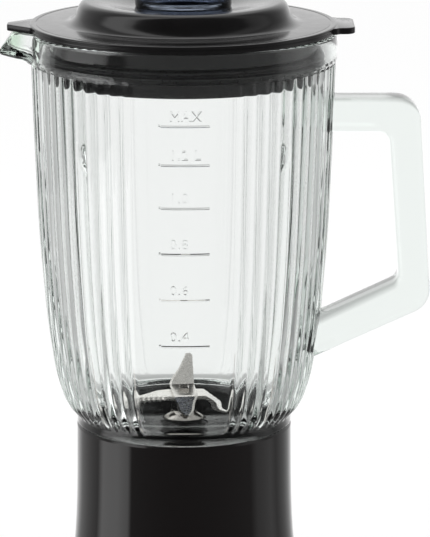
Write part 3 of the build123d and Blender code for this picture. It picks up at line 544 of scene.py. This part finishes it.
def jug_body():
    """Bowl, neck, foot band, fluted wall, rim band and beak as one closed skin."""
    foot = rounded([(NECK_BORE_R, -NECK_H), (NECK_R, -NECK_H), (NECK_R, 0), (JUG_FOOT_R, 0),
                    (JUG_FOOT_R, 3.5)], [0.8, 1.2, 0.9])
    wall_z = np.arange(4.0, 160.4, 1.1)
    wall = np.column_stack([wall_out(wall_z), wall_z])
    rim = rounded([wall[-1], (66.5, 161.2), (RIM_R, RIM_LOW + 0.6), (RIM_R, JUG_H),
                   (MOUTH_R, JUG_H), (MOUTH_R, 158.0)], [1.2, 1.0, 1.6, 1.6], 0.3)[1:]
    top = int(np.argmax(rim[:, 1]))
    rim_out, rim_in = rim[:top], rim[top:]
    rim_out = np.vstack([rim_out[rim_out[:, 1] < 164.3],
                         np.column_stack([np.full(9, RIM_R), np.linspace(164.5, 172.5, 9)]),
                         rim_out[rim_out[:, 1] > 172.7]])
    rim_in = np.vstack([rim_in[rim_in[:, 1] > 172.7],
                        np.column_stack([np.full(15, MOUTH_R), np.linspace(172.5, 158.5, 15)])])
    bowl_z = np.arange(157.5, -4.6, -1.3)
    bowl = np.column_stack([wall_in(bowl_z), bowl_z])
    bore = rounded([bowl[-1], (NECK_BORE_R, -5.2), (NECK_BORE_R, -NECK_H + 0.4)], [0.3])[1:]
    outside = np.vstack([foot, wall, rim_out])
    inside = np.vstack([rim_in, bowl, bore])
    split = len(outside)

    def shape(r, z, theta):
        out_r = jug_outside(r[:split], z[:split], theta)
        in_r = jug_inside(r[split:], z[split:], theta)
        r = np.vstack([out_r, in_r])
        x = -r * np.cos(theta)
        lean = RIM_LEAN * smoothstep(RIM_LEAN_FROM, RIM_LEAN_FROM + 1.5, z)
        r[:split] -= lean[:split] * (z[:split] - RIM_LEAN_FROM)
        lip = JUG_H - LIP_SLOPE * np.clip(x - LIP_START, 0, None)
        fall = (lip - LIP_BASE) / (JUG_H - LIP_BASE)
        z = np.where(z > LIP_BASE, LIP_BASE + (z - LIP_BASE) * fall, z)
        return r, z + SEAT_Z

    return turned("glass_jug_moulded", np.vstack([outside, inside]), MATERIALS["clear_glass"],
                  RIBS * RIB_SAMPLES, shape, 42.0)


def handle_mesh():
    """Solid bar with a rounded section, swept between its outer and inner outline."""
    def towards(p, q):
        return (q - p) / np.linalg.norm(q - p)

    def arc(p, k, radius, count):
        """Points between the ends of the arc at a corner, and how far those ends lie off."""
        u, v = towards(p[k], p[k - 1]), towards(p[k], p[k + 1])
        half = math.acos(float(u @ v)) / 2
        centre = p[k] + (u + v) / np.linalg.norm(u + v) * radius / math.sin(half)
        start = p[k] + u * radius / math.tan(half) - centre
        points = []
        for i in range(1, count + 1):
            w = (2 * half - math.pi) * i / (count + 1)
            points.append(centre + np.array([start[0] * math.cos(w) - start[1] * math.sin(w),
                                             start[0] * math.sin(w) + start[1] * math.cos(w)]))
        return points, radius / math.tan(half)

    def spaced(points, radius, counts):
        """Three runs with an arc at each corner, with set numbers of points on each."""
        p = [np.array(q, float) for q in points]
        (upper, off_upper), (lower, off_lower) = [arc(p, k, radius, counts[1]) for k in (1, 2)]
        out = list(np.linspace(p[0], p[1] + towards(p[1], p[0]) * off_upper, counts[0])) + upper
        out += list(np.linspace(p[1] + towards(p[1], p[2]) * off_upper,
                                p[2] + towards(p[2], p[1]) * off_lower, counts[2])) + lower
        out += list(np.linspace(p[2] + towards(p[2], p[3]) * off_lower, p[3], counts[3]))
        return np.array(out)

    counts = (10, 9, 16, 14)
    outer = spaced(HANDLE_OUTER, HANDLE_OUTER_R, counts)
    inner = spaced(HANDLE_INNER, HANDLE_INNER_R, counts)
    rings, edge, half = [], HANDLE_EDGE_R, HANDLE_W / 2
    for a, b in zip(outer, inner):
        across = b - a
        width = np.linalg.norm(across)
        across /= width
        ring = []
        for corner, (su, sv) in enumerate([(1, 1), (-1, 1), (-1, -1), (1, -1)]):
            for i in range(7):
                w = math.pi / 2 * (corner + i / 6)
                u = width / 2 + su * (width / 2 - edge) + edge * math.cos(w)
                v = sv * (half - edge) + edge * math.sin(w)
                point = a + across * u
                ring.append((point[0], v, point[1] + SEAT_Z))
        rings.append(ring)
    verts = np.array(rings).reshape(-1, 3)
    count = len(rings[0])
    faces = [tuple(q) for q in grid_faces(len(rings), count, False)]
    faces.append(tuple(range(count))[::-1])
    faces.append(tuple((len(rings) - 1) * count + j for j in range(count)))
    return tidy_normals(new_piece("handle", verts, faces, None))


def wrapped(obj, height):
    """Wraps a flat piece (X across, Y up, Z out, millimetres) on the jug's front panel."""
    for vertex in obj.data.vertices:
        x, y, out = vertex.co
        z = height + y
        radius = float(wall_out(z)) + out
        angle = -math.pi / 2 + x / float(wall_out(z))
        vertex.co = Vector((radius * math.cos(angle), radius * math.sin(angle), z + SEAT_Z)) * MM
    return obj


def numeral(text, x, height, size):
    """Raised characters as a closed mesh on the panel."""
    curve = bpy.data.curves.new("numeral", "FONT")
    curve.body, curve.size, curve.align_x, curve.extrude = text, size, "LEFT", MARK_ROOT
    curve.resolution_u, curve.bevel_depth, curve.bevel_resolution = 3, MARK_SLOPE, 0
    curve.offset, curve.space_character = LABEL_THINNER, LABEL_SPACING
    holder = bpy.data.objects.new("numeral", curve)
    bpy.context.scene.collection.objects.link(holder)
    bpy.context.view_layer.update()
    mesh = bpy.data.meshes.new_from_object(holder.evaluated_get(
        bpy.context.evaluated_depsgraph_get()))
    bpy.data.objects.remove(holder)
    mesh.transform(Matrix.Translation((x, 0, MARK_PROUD - MARK_ROOT - MARK_SLOPE)))
    obj = bpy.data.objects.new("numeral", mesh)
    bpy.context.scene.collection.objects.link(obj)
    return tidy_normals(wrapped(obj, height))


def bar(x0, x1, low, high, height, segments=24):
    """Raised line on the panel with sloping sides, level and curved with the glass."""
    xs = np.linspace(x0, x1, segments)
    slope = (high - low) * 0.36
    ring = [(low, -0.6), (low, 0.03), (low + slope, MARK_PROUD), (high - slope, MARK_PROUD),
            (high, 0.03), (high, -0.6)]
    count = len(ring)
    verts = [(x, y, z) for x in xs for y, z in ring]
    faces = [(count * k + j, count * k + (j + 1) % count, count * (k + 1) + (j + 1) % count,
              count * (k + 1) + j) for k in range(segments - 1) for j in range(count)]
    last = count * (segments - 1)
    faces += [tuple(range(count)), tuple(range(last + count - 1, last - 1, -1))]
    mesh = bpy.data.meshes.new("bar")
    mesh.from_pydata(verts, [], faces)
    obj = bpy.data.objects.new("bar", mesh)
    bpy.context.scene.collection.objects.link(obj)
    return tidy_normals(wrapped(obj, height))


def scale_on_panel():
    marks = []
    for height, label in SCALE:
        marks.append(bar(*LINE_X, -0.5, 0.5, height))
        marks.append(bar(*TICK_X, -0.1, 0.9, height, 4))
        marks.append(numeral(label, LABEL_X, height + LABEL_RISE, LABEL_SIZE))
    return marks


jug = unite(jug_body(), [handle_mesh()])
jug = unite(jug, scale_on_panel())
shade(jug, 42.0)
finished(jug, "jug", "clear_glass", "glass_jug")


# ---- Lid, its seal and the measuring cap ----------------------------------------------------
FLANGE_Z, FLANGE_R, FLANGE_T = SEAT_Z + JUG_H + 0.15, 66.8, 3.3
PLUG_R, PLUG_DEPTH = 59.0, 20.0
CAP_HOLE_R = 19.2
CAP_R, CAP_PLUG_R, CAP_T = 21.0, 18.7, 2.0
CAP_SEAT_Z, CAP_TOP_Z = SEAT_Z + 185.6, SEAT_Z + 207.0


def lid_body():
    """Dome, flange with two beads on its edge, and the plug's skirt."""
    z, top = FLANGE_Z, FLANGE_Z + FLANGE_T
    edge = rounded([(PLUG_R + 0.6, z), (FLANGE_R, z), (FLANGE_R, z + 1.5), (FLANGE_R - 0.8, z + 1.75),
                    (FLANGE_R, z + 2.0), (FLANGE_R, top), (FLANGE_R - 2.4, top + 0.02),
                    (FLANGE_R - 2.7, top - 0.22), (FLANGE_R - 3.0, top - 0.02),
                    (54.0, top)], [0.6, 0.3, 0.2, 0.3, 0.7, 0.2, 0.15, 0.2], 0.12)
    dome = smooth_line([(54.0, top), (51.2, top + 0.15), (49.0, top + 1.0), (47.2, top + 3.0),
                        (46.2, top + 5.6), (45.0, top + 8.0), (43.2, top + 9.4), (41.0, top + 9.7),
                        (37.0, top + 9.5), (30.0, top + 8.4), (22.6, top + 7.0)], 0.5)
    hole = rounded([(22.6, top + 7.0), (CAP_HOLE_R, top + 6.95), (CAP_HOLE_R, top + 1.5),
                    (22.0, top + 1.5), (22.0, top + 4.6)], [0.5, 0.4, 0.4], 0.15)[1:]
    under = smooth_line([(22.0, top + 4.6), (30.0, top + 6.0), (37.0, top + 7.2), (41.0, top + 7.4),
                         (43.4, top + 6.0), (44.6, top + 2.4), (47.0, z + 0.6), (52.0, z + 0.1),
                         (PLUG_R - 2.2, z)], 0.8)[1:]
    skirt = rounded([(PLUG_R - 2.2, z), (PLUG_R - 2.2, z - PLUG_DEPTH), (PLUG_R, z - PLUG_DEPTH),
                     (PLUG_R, z - 0.3), (PLUG_R + 0.6, z)], [0.6, 0.8, 0.3], 0.2)[1:-1]
    levels = [np.linspace(a, b, max(2, int(np.linalg.norm(b - a) / 2)), endpoint=False)
              for a, b in zip(skirt, skirt[1:])]
    outline = np.vstack([edge, dome[1:], hole, under, *levels, skirt[-1:]])
    return turned("lid_shell", outline, MATERIALS["satin_black"], 320, None, 40.0)


def tab(outline, top_drop):
    """Tab that grows out of the flange, with softened edges."""
    return plate("tab", outline, FLANGE_Z, FLANGE_Z + FLANGE_T - top_drop, 0.45,
                 MATERIALS["satin_black"], 40.0)


def lid():
    spout = rounded([(-62.0, -14.8), (-66.4, -12.8), (-76.6, -3.2), (-76.6, 3.2), (-66.4, 12.8),
                     (-62.0, 14.8)], [2.0, 2.4, 2.4, 2.0], 0.3)
    grip = rounded([(62.0, -17.5), (66.2, -16.0), (67.6, -14.4), (74.3, -14.2), (74.3, 14.2),
                    (67.6, 14.4), (66.2, 16.0), (62.0, 17.5)], [2.0, 2.0, 4.5, 4.5, 2.0, 2.0], 0.3)
    body = unite(lid_body(), [tab(spout[::-1], 0.5), tab(grip, 0.5)])
    shade(body, 40.0)
    return finished(body, "lid", "satin_black", "lid")


def seal():
    z = SEAT_Z + 162.0
    lips = rounded([(PLUG_R + 0.05, z), (60.5, z + 0.2), (61.5, z + 1.4), (61.5, z + 2.0),
                    (60.2, z + 2.5), (60.2, z + 3.1), (61.5, z + 3.8), (61.5, z + 4.4),
                    (60.2, z + 5.4), (PLUG_R + 0.05, z + 5.6)], 0.28, 0.1)
    ring = turned("seal_ring", lips, MATERIALS["silicone"], 256)
    return finished(ring, "lid", "silicone", "lid_seal")


def measuring_cap():
    """Smoky cup, closed on top, with a soft rim and a thin plug below its seat."""
    z, top = CAP_SEAT_Z, CAP_TOP_Z
    outside = rounded([(0.0, top - 0.7), (14.0, top - 0.7), (16.5, top), (CAP_R, top), (CAP_R, z),
                       (CAP_PLUG_R, z), (CAP_PLUG_R, z - 14), (CAP_PLUG_R - CAP_T, z - 14),
                       (CAP_PLUG_R - CAP_T, z + 1), (CAP_R - CAP_T, z + 3),
                       (CAP_R - CAP_T, top - 2.8), (0.0, top - 2.8)],
                      [6.0, 2.0, 2.2, 0.8, 0.4, 0.8, 0.8, 3.0, 2.0, 1.8], 0.3)
    cup = turned("measuring_cup", outside, MATERIALS["smoky_plastic"], 192)
    return finished(cup, "cap", "smoky_plastic", "measuring_cap")


lid()
seal()
measuring_cap()


# ---- Blades and hub ---------------------------------------------------------------------------
HUB_TOP = SEAT_Z + 7.4
BLADE_T = 1.5
BEND_R = 1.6


def arm_outline(half_root, reach, heel, tip_low, tip_high, teeth):
    """One arm along +X from its root, trailing edge first, then the tip and the leading
    edge. Each point is (x, y, bevel): how far the top is ground back from the edge."""
    points = [(0.0, -half_root, 0.0), (heel, -half_root, 0.0),
              (reach - 0.6, tip_low - 0.5, 0.3), (reach, tip_low + 0.3, 0.3),
              (reach, tip_high, 0.6)]
    start, end = reach * 0.96, reach * 0.40
    if teeth:
        for k in range(teeth):
            x = start + (end - start) * k / teeth
            y = tip_high + 0.3 + (half_root - tip_high) * (start - x) / (start - end)
            step = (end - start) / teeth
            points += [(x, y, 1.1), (x + step * 0.62, y - 0.55, 1.1)]
    points += [(end, half_root, 0.9), (0.0, half_root, 0.0)]
    return points


def bent(x, z, bend_at, tilt):
    """Bends a strip along X upwards (tilt > 0) or down, past a distance from the axis."""
    s, a_end = x - bend_at, abs(tilt)
    if s <= 0 or a_end < 1e-6:
        return x, z
    sign = 1 if tilt > 0 else -1
    a = min(s / BEND_R, a_end)
    rest = max(0.0, s - BEND_R * a_end)
    along = bend_at + BEND_R * math.sin(a) + rest * math.cos(a_end)
    rise = sign * (BEND_R * (1 - math.cos(a)) + rest * math.sin(a_end))
    return along - sign * z * math.sin(a), rise + z * math.cos(a)


def blade(name, z, turn, arms, nodes):
    """Two-armed blade cut from sheet, bent, with ground leading edges."""
    outline = []
    for flip, (half_root, reach, heel, tip_low, tip_high, teeth, _, _) in zip((1, -1), arms):
        outline += [(flip * x, flip * y, c)
                    for x, y, c in arm_outline(half_root, reach, heel, tip_low, tip_high, teeth)]
    p = np.array([(x, y) for x, y, _ in outline])
    grind = np.array([c for _, _, c in outline])
    along = np.roll(p, -1, 0) - np.roll(p, 1, 0)
    along /= np.linalg.norm(along, axis=1)[:, None]
    inward = np.stack([-along[:, 1], along[:, 0]], -1)
    mesh = bmesh.new()
    low = [mesh.verts.new((*q, 0.0)) for q in p]
    mid = [mesh.verts.new((*q, BLADE_T * (0.35 if c else 0.93))) for q, c in zip(p, grind)]
    top = [mesh.verts.new((*q, BLADE_T)) for q in p + inward * np.maximum(grind, 0.1)[:, None]]
    count = len(p)
    for j in range(count):
        k = (j + 1) % count
        mesh.faces.new((low[j], low[k], mid[k], mid[j]))
        mesh.faces.new((mid[j], mid[k], top[k], top[j]))
    mesh.faces.new(low[::-1])
    mesh.faces.new(top)
    for side, arm in zip((1, -1), arms):
        bend_at, tilt = arm[6], math.radians(abs(arm[7]))
        for step in range(7):
            x = side * (bend_at + BEND_R * tilt * step / 6)
            geometry = mesh.verts[:] + mesh.edges[:] + mesh.faces[:]
            bmesh.ops.bisect_plane(mesh, geom=geometry, plane_co=(x, 0, 0), plane_no=(1, 0, 0))
    for vertex in mesh.verts:
        side = 0 if vertex.co.x >= 0 else 1
        x, height = bent(abs(vertex.co.x), vertex.co.z, arms[side][6],
                         math.radians(arms[side][7]))
        vertex.co = Vector((x if side == 0 else -x, vertex.co.y, height))
    bmesh.ops.recalc_face_normals(mesh, faces=mesh.faces)
    data = bpy.data.meshes.new(name)
    mesh.transform(Matrix.Scale(MM, 4) @ Matrix.Translation((0, 0, z))
                   @ Matrix.Rotation(math.radians(turn), 4, "Z"))
    mesh.to_mesh(data)
    mesh.free()
    obj = bpy.data.objects.new(name, data)
    bpy.context.scene.collection.objects.link(obj)
    data.materials.append(MATERIALS["blade_steel"])
    shade(obj, 25.0)
    return finished(obj, "blade_rotor", "blade_steel", *nodes)


def hub():
    """Stainless bell over the boss, with a rolled foot."""
    z = SEAT_Z
    bell = smooth_line([(9.3, z - 3.0), (9.75, z - 2.7), (9.9, z - 2.2), (9.7, z - 1.4),
                        (9.1, z), (7.9, z + 1.8), (6.3, z + 3.7), (5.8, z + 5.4),
                        (5.8, HUB_TOP)], 0.3)
    inner = [(4.0, HUB_TOP), (4.0, HUB_TOP - 1), (5.0, HUB_TOP - 1), (5.0, 133.2), (6.5, 133.2),
             (6.5, z - 3.0)]
    ring = turned("hub_bell", np.vstack([bell, inner]), MATERIALS["stainless"], 128)
    return finished(ring, "jug", "stainless", "bearing_hub")


blade("lower_blade_punched", HUB_TOP + 1.0, 6.0,
      [(5.5, 22.5, 19.0, -1.6, 0.4, 6, 8.5, -32.0), (5.5, 23.5, 11.5, 0.9, 2.4, 6, 7.0, -4.0)],
      ["lower_blade"])
blade("upper_blade_punched", HUB_TOP + 1.0 + BLADE_T, 97.0,
      [(5.5, 25.5, 24.2, -4.9, -2.7, 0, 7.5, 66.0), (5.5, 18.0, 9.2, -0.8, 0.2, 0, 8.0, -34.0)],
      ["upper_blade"])
hub()


# ---- Floor, light and camera --------------------------------------------------------------------
LEFT_TONES = [(-1.0, 0.06), (-0.56, 0.15), (-0.50, 1.3), (-0.3, 1.7), (0.06, 1.5), (0.2, 0.36),
              (0.5, 0.48), (0.72, 0.56), (0.87, 0.97), (1.0, 1.2)]
RIGHT_TONES = [(-1.0, 0.06), (-0.30, 0.14), (-0.15, 0.42), (0.2, 0.52), (0.38, 0.27), (0.64, 0.44),
               (0.78, 0.63), (0.9, 1.0), (1.0, 1.2)]
CLEAR_TONES = [(0.0, 0.58), (0.3, 0.68), (0.6, 0.90), (0.8, 1.0), (1.0, 1.0)]
GLASS_FLOOR = 0.60      # least tone for light mirrored after crossing glass often enough
GLASS_CROSSINGS = 2.5   # faces of glass that it must have crossed more of
NEAR_SHADE = (0.15, 0.52, 0.45, 1.0)    # floor's shade: from and to metres, from and to tone
FLOOR_REACH, FLOOR_GLOW, FLOOR_PALE = 4.0, 0.36, 0.62
FLAG_X, FLAG_Y, FLAG_Z, FLAG_GLOW = -0.60, (-0.60, 0.25), (0.115, 0.235), 0.05
CAMERA_PLACE, CAMERA_DOWN, CAMERA_TURN = (0.0, -1.640, 0.5905), 12.78, -0.481
LENS, SENSOR = 255.6, 36.0


def emission(name, strength):
    """White glow of one strength."""
    material = bpy.data.materials.new(name)
    material.use_nodes = True
    tree = material.node_tree
    tree.nodes.remove(tree.nodes["Principled BSDF"])
    glow = tree.nodes.new("ShaderNodeEmission")
    glow.inputs["Color"].default_value = (1, 1, 1, 1)
    glow.inputs["Strength"].default_value = strength
    tree.links.new(glow.outputs[0], tree.nodes["Material Output"].inputs["Surface"])
    return material


class Studio:
    """Brightness of the studio round the object, by compass direction. Gloss mirrors soft
    boxes at both sides and the dark end in front; glass looks out at paler sides."""

    def __init__(self, tree):
        self.tree = tree
        self.path = tree.nodes.new("ShaderNodeLightPath")

    def maths(self, operation, *values):
        made = self.tree.nodes.new("ShaderNodeMath")
        made.operation = operation
        for k, value in enumerate(values):
            if isinstance(value, bpy.types.NodeSocket):
                self.tree.links.new(value, made.inputs[k])
            else:
                made.inputs[k].default_value = value
        return made.outputs[0]

    def ramp(self, value, stops):
        """Tone along stops of (cosine from straight behind, brightness up to 2)."""
        made = self.tree.nodes.new("ShaderNodeValToRGB")
        elements = made.color_ramp.elements
        while len(elements) < len(stops):
            elements.new(0.5)
        for element, (cosine, tone) in zip(elements, stops):
            element.position = (cosine + 1) / 2
            element.color = (tone / 2, tone / 2, tone / 2, 1)
        self.tree.links.new(self.maths("MULTIPLY_ADD", value, 0.5, 0.5), made.inputs[0])
        return self.maths("MULTIPLY", made.outputs[0], 2.0)

    def choose(self, flag, if_set, otherwise):
        lit = self.maths("MULTIPLY", flag, if_set)
        return self.maths("ADD", lit, self.maths("MULTIPLY", self.maths("SUBTRACT", 1.0, flag),
                                                 otherwise))

    def seen_plain(self):
        """1 for what the camera or a matt surface sees, otherwise 0."""
        return self.maths("MAXIMUM", self.path.outputs["Is Camera Ray"],
                          self.path.outputs["Is Diffuse Ray"])

    def tone(self, vector, shaded=1.0):
        """shaded dims what clear glass looks out at."""
        parts = self.tree.nodes.new("ShaderNodeSeparateXYZ")
        self.tree.links.new(vector, parts.inputs[0])
        x, y = parts.outputs["X"], parts.outputs["Y"]
        level = self.maths("SQRT", self.maths("ADD", self.maths("MULTIPLY", x, x),
                                              self.maths("MULTIPLY", y, y)))
        cosine = self.maths("DIVIDE", y, self.maths("MAXIMUM", level, 0.0001))
        left = self.maths("LESS_THAN", x, 0.0)
        gloss = self.choose(left, self.ramp(cosine, LEFT_TONES), self.ramp(cosine, RIGHT_TONES))
        clear = self.maths("MULTIPLY", shaded,
                           self.ramp(self.maths("ABSOLUTE", cosine), CLEAR_TONES))
        through = self.maths("GREATER_THAN", self.path.outputs["Transmission Depth"],
                             GLASS_CROSSINGS)
        gloss = self.choose(through, self.maths("MAXIMUM", gloss, GLASS_FLOOR), gloss)
        mirrored = self.maths("GREATER_THAN", self.path.outputs["Glossy Depth"], 0.5)
        return self.choose(mirrored, gloss, clear)


def floor_material():
    """Pale matt floor for the eye, with the studio's tones for gloss and glass."""
    material = emission("studio_floor", FLOOR_GLOW)
    tree = material.node_tree
    matt = tree.nodes.new("ShaderNodeBsdfDiffuse")
    matt.inputs["Color"].default_value = (FLOOR_PALE, FLOOR_PALE, FLOOR_PALE, 1)
    plain = tree.nodes.new("ShaderNodeAddShader")
    tree.links.new(tree.nodes["Emission"].outputs[0], plain.inputs[0])
    tree.links.new(matt.outputs[0], plain.inputs[1])
    studio = Studio(tree)
    place = tree.nodes.new("ShaderNodeTexCoord").outputs["Object"]
    toned = tree.nodes.new("ShaderNodeEmission")
    reach = tree.nodes.new("ShaderNodeVectorMath")
    reach.operation = "LENGTH"
    tree.links.new(place, reach.inputs[0])
    near = tree.nodes.new("ShaderNodeMapRange")
    near.interpolation_type = "SMOOTHSTEP"
    for socket, number in zip(("From Min", "From Max", "To Min", "To Max"), NEAR_SHADE):
        near.inputs[socket].default_value = number
    tree.links.new(reach.outputs["Value"], near.inputs["Value"])
    tree.links.new(studio.tone(place, near.outputs[0]), toned.inputs["Strength"])
    mix = tree.nodes.new("ShaderNodeMixShader")
    tree.links.new(studio.seen_plain(), mix.inputs[0])
    tree.links.new(toned.outputs[0], mix.inputs[1])
    tree.links.new(plain.outputs[0], mix.inputs[2])
    tree.links.new(mix.outputs[0], tree.nodes["Material Output"].inputs["Surface"])
    return material


def rectangle(name, corners, material):
    mesh = bpy.data.meshes.new(name)
    mesh.from_pydata(corners, [], [(0, 1, 2, 3)])
    mesh.materials.append(material)
    obj = bpy.data.objects.new(name, mesh)
    bpy.context.scene.collection.objects.link(obj)
    return obj


def floor():
    a = FLOOR_REACH
    rectangle("floor", [(-a, -a, 0), (a, -a, 0), (a, a, 0), (-a, a, 0)], floor_material())


def flag():
    """Dark card at the left that keeps the soft box out of the rim band's lower part."""
    (near, far), (low, high) = FLAG_Y, FLAG_Z
    card = rectangle("flag", [(FLAG_X, near, low), (FLAG_X, far, low), (FLAG_X, far, high),
                              (FLAG_X, near, high)], emission("flag", FLAG_GLOW))
    card.visible_camera = card.visible_diffuse = card.visible_shadow = False


def world():
    """White all round for the eye, with the studio's tones for gloss and glass."""
    made = bpy.data.worlds.new("studio")
    bpy.context.scene.world = made
    made.use_nodes = True
    tree = made.node_tree
    studio = Studio(tree)
    place = tree.nodes.new("ShaderNodeTexCoord").outputs["Generated"]
    level = studio.choose(studio.seen_plain(), 1.0, studio.tone(place))
    tree.links.new(level, tree.nodes["Background"].inputs["Strength"])
    tree.nodes["Background"].inputs["Color"].default_value = (1, 1, 1, 1)


def camera():
    """Above the lid's height and looking a little down, from 1.64 m in front."""
    data = bpy.data.cameras.new("camera")
    data.lens, data.sensor_width = LENS, SENSOR
    obj = bpy.data.objects.new("camera", data)
    obj.location = CAMERA_PLACE
    obj.rotation_euler = (math.radians(90 - CAMERA_DOWN), 0, math.radians(CAMERA_TURN))
    bpy.context.scene.collection.objects.link(obj)
    bpy.context.scene.camera = obj


def overhead():
    """Weak soft light above and a little behind."""
    data = bpy.data.lights.new("overhead", "AREA")
    data.shape, data.size, data.size_y = "RECTANGLE", 1.2, 0.9
    data.energy = 2.0
    obj = bpy.data.objects.new("overhead", data)
    obj.location = (0.1, 0.5, 1.5)
    obj.rotation_euler = (math.radians(-20), 0, 0)
    bpy.context.scene.collection.objects.link(obj)


floor()
world()
flag()
overhead()
camera()
scene = bpy.context.scene
scene.view_settings.view_transform = "Standard"
scene.cycles.max_bounces = 24
scene.cycles.transmission_bounces = 20
scene.cycles.transparent_max_bounces = 16
